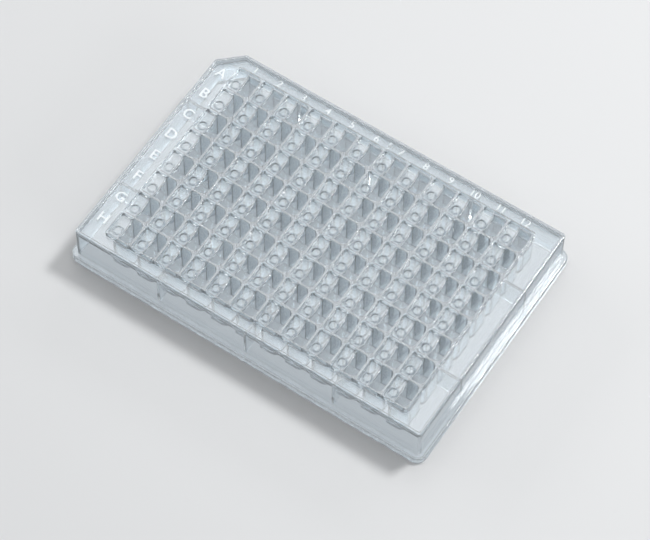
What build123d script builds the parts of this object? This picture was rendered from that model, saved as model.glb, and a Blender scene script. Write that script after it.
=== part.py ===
from build123d import *
from math import radians, tan
import os

# A clear 96-well plate for growing crystals from sitting drops, moulded in one piece. Each cell has a
# shelf with a drop well on it, ringed by a low lip, and a deep reservoir beside the shelf. A skirt with a
# foot flange carries the deck, and a shallow label channel runs between the skirt's rim and the cells,
# whose field stands a little above the rim so that sealing film lies flat on it.
#
# Millimetres. The origin is the middle of the foot and +Z is up. X runs along the rows of twelve cells
# and Y along the columns of eight. The corner beside the first cell, at -X and +Y, is cut off.

# Overall size
length = 127.76
width = 85.48
height = 15.3

# Skirt and foot flange
wall = 1.0
flange_width = 1.8
flange_height = 2.4
flange_radius = 3.2
flange_edge_radius = 0.5
skirt_draft = 0.3
skirt_radius = 1.2
skirt_inner_radius = 0.5
corner_cut_x = 7.3
corner_cut_y = 6.8
rim_edge_radius = 0.4

# Deck, label channel and the raised field of cells
deck = 1.2
rim_drop = 0.3
channel_depth = 1.4
field_radius = 0.6

# Grid of cells
columns = 12
rows = 8
pitch = 9.0

# One cell, about its centre
cell_wall = 0.8
outer_wall = 0.5
shelf_corner_radius = 0.7
shelf_depth = 1.55
shelf_thickness = 1.0
shelf_bow = 0.6
reservoir_corner_radius = 1.7
reservoir_width = 4.15
reservoir_floor_height = 3.3
shell = 0.8

# Drop well on the shelf
drop_floor_diameter = 2.2
drop_mouth_diameter = 2.7
drop_shift_x = -0.1
drop_shift_y = -1.2
lip_height = 0.35
lip_crest = 0.1
lip_run = 0.3

# Ribs between the cells and the skirt
rib_thickness = 0.9
end_rib_spacing = 4 * pitch
side_rib_spacing = 3.5 * pitch

# Levels and places that follow from the sizes above
rim_height = height - rim_drop
channel_floor = rim_height - channel_depth
deck_underside = channel_floor - deck
shelf_top = height - shelf_depth
shelf_underside = shelf_top - shelf_thickness
reservoir_bottom = reservoir_floor_height - shell
foot_length = length - 2 * flange_width
foot_width = width - 2 * flange_width
rim_inset = rim_height * tan(radians(skirt_draft)) + wall
cell_side = pitch - cell_wall
cell_edge = cell_side / 2
reservoir_left = cell_edge - reservoir_width
shelf_middle = (reservoir_left - cell_edge) / 2
field_length = (columns - 1) * pitch + cell_side + 2 * outer_wall
field_width = (rows - 1) * pitch + cell_side + 2 * outer_wall
lip_top_diameter = drop_mouth_diameter + 2 * lip_crest
lip_base_diameter = lip_top_diameter + 2 * lip_run
cells = GridLocations(pitch, pitch, columns, rows)


def skirt_outline(inset, radius):
    """Return the outline of the skirt at the foot, moved in by inset, with its one cut corner."""
    x, y = foot_length / 2, foot_width / 2
    corners = [(x, -y), (x, y), (corner_cut_x - x, y), (-x, y - corner_cut_y), (-x, -y)]
    outline = make_face(Polyline(*corners, close=True))
    if inset:
        outline = offset(outline, -inset, kind=Kind.INTERSECTION)
    return fillet(outline.vertices(), radius)


def reservoir_outline(grow):
    """Return the plan of a reservoir, grown all round, whose side by the shelf bows into it."""
    bow, side = reservoir_left - grow, cell_edge + grow
    back = Line((side, side), (bow - shelf_bow, side))
    front = Line((bow - shelf_bow, -side), (side, -side))
    far = Line((side, -side), (side, side))
    near = ThreePointArc((bow - shelf_bow, side), (bow, 0), (bow - shelf_bow, -side))
    outline = make_face(Curve() + [back, near, front, far])
    return fillet(outline.vertices().group_by(Axis.X)[-1], reservoir_corner_radius + grow)


def make_skirt():
    """Return the hollow skirt with its foot flange, its deck and the label channel round the deck."""
    skirt = extrude(skirt_outline(0, skirt_radius), rim_height, taper=skirt_draft)
    skirt = fillet(skirt.faces().sort_by(Axis.Z)[-1].edges(), rim_edge_radius)
    flange = extrude(RectangleRounded(length, width, flange_radius), flange_height)
    flange = fillet(flange.faces().sort_by(Axis.Z)[-1].edges(), flange_edge_radius)
    foot = RectangleRounded(length - 2 * wall, width - 2 * wall, flange_radius - wall)
    hollow = extrude(skirt_outline(wall, skirt_inner_radius), deck_underside, taper=skirt_draft)
    channel = extrude(skirt_outline(rim_inset, skirt_inner_radius), channel_depth)
    return skirt + flange - extrude(foot, flange_height - wall) - hollow - Pos(Z=channel_floor) * channel


def make_reservoir_shells():
    """Return the outsides of the reservoirs, one solid for each column, down to their floors."""
    outline = reservoir_outline(shell)
    column = Sketch() + [place * outline for place in GridLocations(pitch, pitch, 1, rows)]
    solid = Pos(Z=reservoir_bottom) * extrude(column, shelf_top - reservoir_bottom)
    return [place * solid for place in GridLocations(pitch, pitch, columns, 1)]


def make_cell():
    """Return the hollow of one cell about its centre: its mouth, round the drop well's lip, and its
    reservoir."""
    mouth = Rectangle(cell_side, cell_side)
    mouth = fillet(mouth.vertices().group_by(Axis.X)[0], shelf_corner_radius)
    mouth = fillet(mouth.vertices().group_by(Axis.X)[-1], reservoir_corner_radius)
    mouth = Pos(Z=shelf_top) * extrude(mouth, shelf_depth)
    lip = Cone(lip_base_diameter / 2, lip_top_diameter / 2, lip_height)
    lip -= Cone(drop_floor_diameter / 2, drop_mouth_diameter / 2, lip_height)
    lip = Pos(shelf_middle + drop_shift_x, drop_shift_y, shelf_top + lip_height / 2) * lip
    depth = shelf_top - reservoir_floor_height
    return mouth - lip + Pos(Z=reservoir_floor_height) * extrude(reservoir_outline(0), depth)


def make_ribs():
    """Return the upright ribs that tie the outer reservoirs to the skirt, below the deck."""
    tall = deck_underside - flange_height
    end_ribs = Sketch() + [
        place * Rectangle(foot_length - 2 * wall, rib_thickness)
        for place in GridLocations(pitch, end_rib_spacing, 1, 2)
    ]
    side_ribs = Sketch() + [
        place * Rectangle(rib_thickness, foot_width - 2 * wall)
        for place in GridLocations(side_rib_spacing, pitch, 3, 1)
    ]
    inside = Rectangle(field_length - 2 * pitch, field_width - 2 * pitch)
    return Pos(Z=flange_height) * extrude(end_ribs + side_ribs - inside, tall)


def make_plate():
    """Return the whole plate as one solid."""
    field = RectangleRounded(field_length, field_width, field_radius)
    field = Pos(Z=shelf_underside) * extrude(field, height - shelf_underside)
    plate = make_skirt() + [field, make_ribs()] + make_reservoir_shells()
    cell = make_cell()
    return plate - [place * cell for place in cells]


plate = make_plate()
os.makedirs("parts", exist_ok=True)
export_step(plate, "parts/well_plate.step")
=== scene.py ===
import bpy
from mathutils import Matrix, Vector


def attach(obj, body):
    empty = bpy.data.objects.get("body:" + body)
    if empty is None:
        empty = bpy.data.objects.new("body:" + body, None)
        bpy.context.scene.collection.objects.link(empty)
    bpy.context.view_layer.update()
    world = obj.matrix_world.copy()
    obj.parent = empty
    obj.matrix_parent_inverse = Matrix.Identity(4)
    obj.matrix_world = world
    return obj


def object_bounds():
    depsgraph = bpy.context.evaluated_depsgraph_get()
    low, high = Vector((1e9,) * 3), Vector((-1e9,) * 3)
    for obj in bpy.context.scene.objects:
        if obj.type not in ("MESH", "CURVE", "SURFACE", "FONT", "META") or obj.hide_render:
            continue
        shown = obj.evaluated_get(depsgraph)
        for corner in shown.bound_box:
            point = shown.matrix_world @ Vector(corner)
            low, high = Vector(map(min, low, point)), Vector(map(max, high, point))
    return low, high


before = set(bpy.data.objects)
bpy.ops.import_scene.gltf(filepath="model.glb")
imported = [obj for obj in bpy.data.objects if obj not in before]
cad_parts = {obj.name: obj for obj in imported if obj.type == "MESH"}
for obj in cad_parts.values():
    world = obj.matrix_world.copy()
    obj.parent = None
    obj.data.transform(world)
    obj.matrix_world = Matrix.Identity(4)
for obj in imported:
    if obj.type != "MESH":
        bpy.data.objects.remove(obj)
cad_low, cad_high = [tuple(corner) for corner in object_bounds()]

import math

import bpy
import numpy as np
from mathutils import Matrix, Vector

# The plate. One shot of clear polystyrene fills the whole mould: skirt, foot flange, deck, cells,
# drop wells, reservoirs and ribs. The steel is polished, so every face comes out glossy, with a faint
# ripple where the melt flowed and chilled. Each face turns the light that passes it slightly blue.
plastic_tint = (0.92, 0.97, 1.0)
plastic_ior = 1.585
clearness = 0.905
plate_roughness = 0.02
roughness_spread = 0.4
edge_radius = 0.0002
edge_samples = 4
ripple_period = 0.0035
ripple_height = 0.000004
ripple_detail = 2.0
grain_period = 0.0006
grain_height = 0.0000006
grain_detail = 3.0


def clear_plastic(name, transmission, roughness):
    """Clear polystyrene: a refracting body whose normals carry two layers of 3-D noise, one for the
    slow ripple of the flow and one for the fine grain of the steel, over edges rounded by edge_radius.
    The ripple also moves the roughness up and down, by its roughness_spread share at most."""
    material = bpy.data.materials.new(name)
    material.use_nodes = True
    nodes, links = material.node_tree.nodes, material.node_tree.links
    shader = nodes["Principled BSDF"]
    shader.inputs["Base Color"].default_value = (*plastic_tint, 1.0)
    shader.inputs["IOR"].default_value = plastic_ior
    shader.inputs["Transmission Weight"].default_value = transmission
    place = nodes.new("ShaderNodeTexCoord")
    flow = nodes.new("ShaderNodeTexNoise")
    flow.inputs["Scale"].default_value = 1 / ripple_period
    flow.inputs["Detail"].default_value = ripple_detail
    grain = nodes.new("ShaderNodeTexNoise")
    grain.inputs["Scale"].default_value = 1 / grain_period
    grain.inputs["Detail"].default_value = grain_detail
    spread = nodes.new("ShaderNodeMapRange")
    spread.inputs["To Min"].default_value = (1 - roughness_spread) * roughness
    spread.inputs["To Max"].default_value = (1 + roughness_spread) * roughness
    rounded = nodes.new("ShaderNodeBevel")
    rounded.samples = edge_samples
    rounded.inputs["Radius"].default_value = edge_radius
    ripple = nodes.new("ShaderNodeBump")
    ripple.inputs["Strength"].default_value = 1.0
    ripple.inputs["Distance"].default_value = ripple_height
    fine = nodes.new("ShaderNodeBump")
    fine.inputs["Strength"].default_value = 1.0
    fine.inputs["Distance"].default_value = grain_height
    links.new(place.outputs["Object"], flow.inputs["Vector"])
    links.new(place.outputs["Object"], grain.inputs["Vector"])
    links.new(flow.outputs["Fac"], spread.inputs["Value"])
    links.new(spread.outputs["Result"], shader.inputs["Roughness"])
    links.new(rounded.outputs["Normal"], ripple.inputs["Normal"])
    links.new(flow.outputs["Fac"], ripple.inputs["Height"])
    links.new(ripple.outputs["Normal"], fine.inputs["Normal"])
    links.new(grain.outputs["Fac"], fine.inputs["Height"])
    links.new(fine.outputs["Normal"], shader.inputs["Normal"])
    return material


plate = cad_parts["well_plate"]
plate.data.materials.clear()
plate.data.materials.append(clear_plastic("plate_plastic", clearness, plate_roughness))

# The labels. The numbers of the columns and the letters of the rows are cut into the polished steel
# with a fine cutter that leaves it rough, so they stand up from the floor of the channel as matt
# plastic, which scatters the light and reads pale.
cell_pitch = 0.009
columns = 12
rows = "ABCDEFGH"
channel_floor = 0.0136
label_gap = 0.00001
label_relief = 0.00022
number_height = 0.0026
number_line = 0.0383
letter_height = 0.0036
letter_line = -0.0579
label_clearness = 0.1
label_roughness = 0.35
stroke_depth = 0.05
stroke_bevel = 0.015
bevel_steps = 1
curve_steps = 4


def raised_mark(text, centre, tall):
    """Corners and faces of a raised mark: the font's outline with a depth and a bevel in the font's
    own units, then scaled evenly in x and y to stand tall about the centre, and stretched in z to fill
    the relief. It starts label_gap above the channel's floor, so that no two faces share one place."""
    curve = bpy.data.curves.new("mark", "FONT")
    curve.body = text
    curve.extrude = stroke_depth
    curve.bevel_depth = stroke_bevel
    curve.bevel_resolution = bevel_steps
    curve.resolution_u = curve_steps
    outline = bpy.data.objects.new("mark", curve)
    mesh = bpy.data.meshes.new_from_object(outline)
    corners = np.empty(3 * len(mesh.vertices))
    mesh.vertices.foreach_get("co", corners)
    corners = corners.reshape(-1, 3)
    low, high = corners.min(axis=0), corners.max(axis=0)
    scale = tall / (high[1] - low[1])
    scales = np.array((scale, scale, label_relief / (high[2] - low[2])))
    middle = np.array(((low[0] + high[0]) / 2, (low[1] + high[1]) / 2, low[2]))
    corners = (corners - middle) * scales + np.array((*centre, channel_floor + label_gap))
    faces = [tuple(face.vertices) for face in mesh.polygons]
    bpy.data.objects.remove(outline)
    bpy.data.curves.remove(curve)
    bpy.data.meshes.remove(mesh)
    return corners, faces


def label_piece(name, marks, material):
    """Make one piece of several raised marks: their corners and faces laid end to end, each mark's
    faces numbered on from the corners before it. It rides with the plate."""
    corners, faces, count = [], [], 0
    for mark_corners, mark_faces in marks:
        corners.append(mark_corners)
        faces += [tuple(index + count for index in face) for face in mark_faces]
        count += len(mark_corners)
    mesh = bpy.data.meshes.new(name)
    mesh.from_pydata(np.concatenate(corners).tolist(), [], faces)
    mesh.materials.append(material)
    piece = bpy.data.objects.new(name, mesh)
    bpy.context.scene.collection.objects.link(piece)
    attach(piece, "root")


label_plastic = clear_plastic("label_plastic", label_clearness, label_roughness)
numbers = []
for column in range(columns):
    text = str(column + 1)
    centre = ((column - (columns - 1) / 2) * cell_pitch, number_line)
    numbers.append(raised_mark(text, centre, number_height))
label_piece("column_numbers", numbers, label_plastic)
letters = []
for row, text in enumerate(rows):
    centre = (letter_line, ((len(rows) - 1) / 2 - row) * cell_pitch)
    letters.append(raised_mark(text, centre, letter_height))
label_piece("row_letters", letters, label_plastic)

# The studio floor. It is a sheet of pale card, far larger than the plate. Rays that come through the
# plate or off it see a darker, even glow instead: painted shade that stands for the shade under the plate.
floor_size = 6.0
floor_gap = 0.00005
card_colour = (0.65, 0.655, 0.66)
card_painted_shade = (0.49, 0.515, 0.54)
card_roughness = 0.6


def flat_sheet(name, size, height):
    """A square sheet at one height: the four corners of a square about the origin."""
    reach = size / 2
    mesh = bpy.data.meshes.new(name)
    mesh.from_pydata(
        [(-reach, -reach, height), (reach, -reach, height), (reach, reach, height), (-reach, reach, height)],
        [], [(0, 1, 2, 3)],
    )
    sheet = bpy.data.objects.new(name, mesh)
    bpy.context.scene.collection.objects.link(sheet)
    return sheet


def pale_card(name):
    """Matt card, which glossy and transmitted rays see as an even glow of painted shade, darker than the lit
    card.
    """
    material = bpy.data.materials.new(name)
    material.use_nodes = True
    nodes, links = material.node_tree.nodes, material.node_tree.links
    shader = nodes["Principled BSDF"]
    shader.inputs["Base Color"].default_value = (*card_colour, 1.0)
    shader.inputs["Roughness"].default_value = card_roughness
    # Painted shade: an even emission, darker than the lit card, that glossy and transmitted rays see in
    # place of the card.
    painted_shade = nodes.new("ShaderNodeEmission")
    painted_shade.inputs["Color"].default_value = (*card_painted_shade, 1.0)
    paths = nodes.new("ShaderNodeLightPath")
    either = nodes.new("ShaderNodeMath")
    either.operation = "MAXIMUM"
    mixed = nodes.new("ShaderNodeMixShader")
    links.new(paths.outputs["Is Glossy Ray"], either.inputs[0])
    links.new(paths.outputs["Is Transmission Ray"], either.inputs[1])
    links.new(either.outputs["Value"], mixed.inputs["Fac"])
    links.new(shader.outputs["BSDF"], mixed.inputs[1])
    links.new(painted_shade.outputs["Emission"], mixed.inputs[2])
    links.new(mixed.outputs["Shader"], nodes["Material Output"].inputs["Surface"])
    return material


floor = flat_sheet("floor", floor_size, cad_low[2] - floor_gap)
floor.data.materials.append(pale_card("card"))

# Soft lamps behind diffusers, all turned to the plate. The key lamp lies in the polished faces as the
# camera sees them, a smaller and stronger one to its right lights the wells, and three low strips draw
# the edges.
lamps = (
    ("key_lamp", (-0.34, 0.54, 1.12), (0.5, 0.5), 1.5),
    ("high_lamp", (0.31, 0.58, 1.01), (0.22, 0.22), 8.0),
    ("back_lamp", (0.1, 1.3, 0.6), (1.4, 0.25), 3.0),
    ("left_lamp", (-1.2, 0.0, 0.5), (1.2, 0.25), 3.0),
    ("right_lamp", (1.2, -0.2, 0.45), (1.0, 0.25), 3.0),
)
for name, place, size, watts in lamps:
    light = bpy.data.lights.new(name, "AREA")
    light.shape = "RECTANGLE"
    light.size, light.size_y = size
    light.energy = watts
    lamp = bpy.data.objects.new(name, light)
    lamp.location = place
    lamp.rotation_euler = (-Vector(place)).to_track_quat("-Z", "Y").to_euler()
    bpy.context.scene.collection.objects.link(lamp)

# The tent around the floor is light grey overhead and shades to dark grey at the horizon, so that the
# sides of the plate have something darker to bend into their edges.
tent_tint = (0.97, 0.985, 1.0, 1.0)
tent_low, tent_high = 0.03, 0.58
tent_rise = 0.8

tent = bpy.data.worlds.new("tent")
tent.use_nodes = True
nodes, links = tent.node_tree.nodes, tent.node_tree.links
direction = nodes.new("ShaderNodeTexCoord")
upward = nodes.new("ShaderNodeSeparateXYZ")
shade = nodes.new("ShaderNodeMapRange")
shade.interpolation_type = "SMOOTHSTEP"
shade.inputs["From Max"].default_value = tent_rise
shade.inputs["To Min"].default_value = tent_low
shade.inputs["To Max"].default_value = tent_high
nodes["Background"].inputs["Color"].default_value = tent_tint
links.new(direction.outputs["Generated"], upward.inputs["Vector"])
links.new(upward.outputs["Z"], shade.inputs["Value"])
links.new(shade.outputs["Result"], nodes["Background"].inputs["Strength"])
bpy.context.scene.world = tent

# Light passes through many faces of a plate like this before it comes out again, so it is followed
# much further through clear plastic than between matt surfaces.
clear_bounces = 24
gloss_bounces = 12
matt_bounces = 4

light_paths = bpy.context.scene.cycles
light_paths.max_bounces = clear_bounces
light_paths.transmission_bounces = clear_bounces
light_paths.glossy_bounces = gloss_bounces
light_paths.diffuse_bounces = matt_bounces

# The camera stands at the front right and looks steeply down through a long lens. It is turned a
# little about its own line of sight.
camera_lens = 165.5
camera_sensor = 36.0
camera_near, camera_far = 0.01, 20.0
camera_azimuth = math.radians(32.495)
camera_elevation = math.radians(60.331)
camera_roll = math.radians(1.187)
camera_distance = 0.9042
camera_target = Vector((0.00580, -0.006125, 0.0070))

back = Vector((
    math.sin(camera_azimuth) * math.cos(camera_elevation),
    -math.cos(camera_azimuth) * math.cos(camera_elevation),
    math.sin(camera_elevation),
))
level_right = Vector((math.cos(camera_azimuth), math.sin(camera_azimuth), 0.0))
level_up = back.cross(level_right)
right = level_right * math.cos(camera_roll) + level_up * math.sin(camera_roll)
up = back.cross(right)
camera_data = bpy.data.cameras.new("camera")
camera_data.lens = camera_lens
camera_data.sensor_width = camera_sensor
camera_data.clip_start, camera_data.clip_end = camera_near, camera_far
camera = bpy.data.objects.new("camera", camera_data)
turn = Matrix((right, up, back)).transposed().to_4x4()
camera.matrix_world = Matrix.Translation(camera_target + back * camera_distance) @ turn
bpy.context.scene.collection.objects.link(camera)
bpy.context.scene.camera = camera
bpy.context.scene.view_settings.view_transform = "Standard"
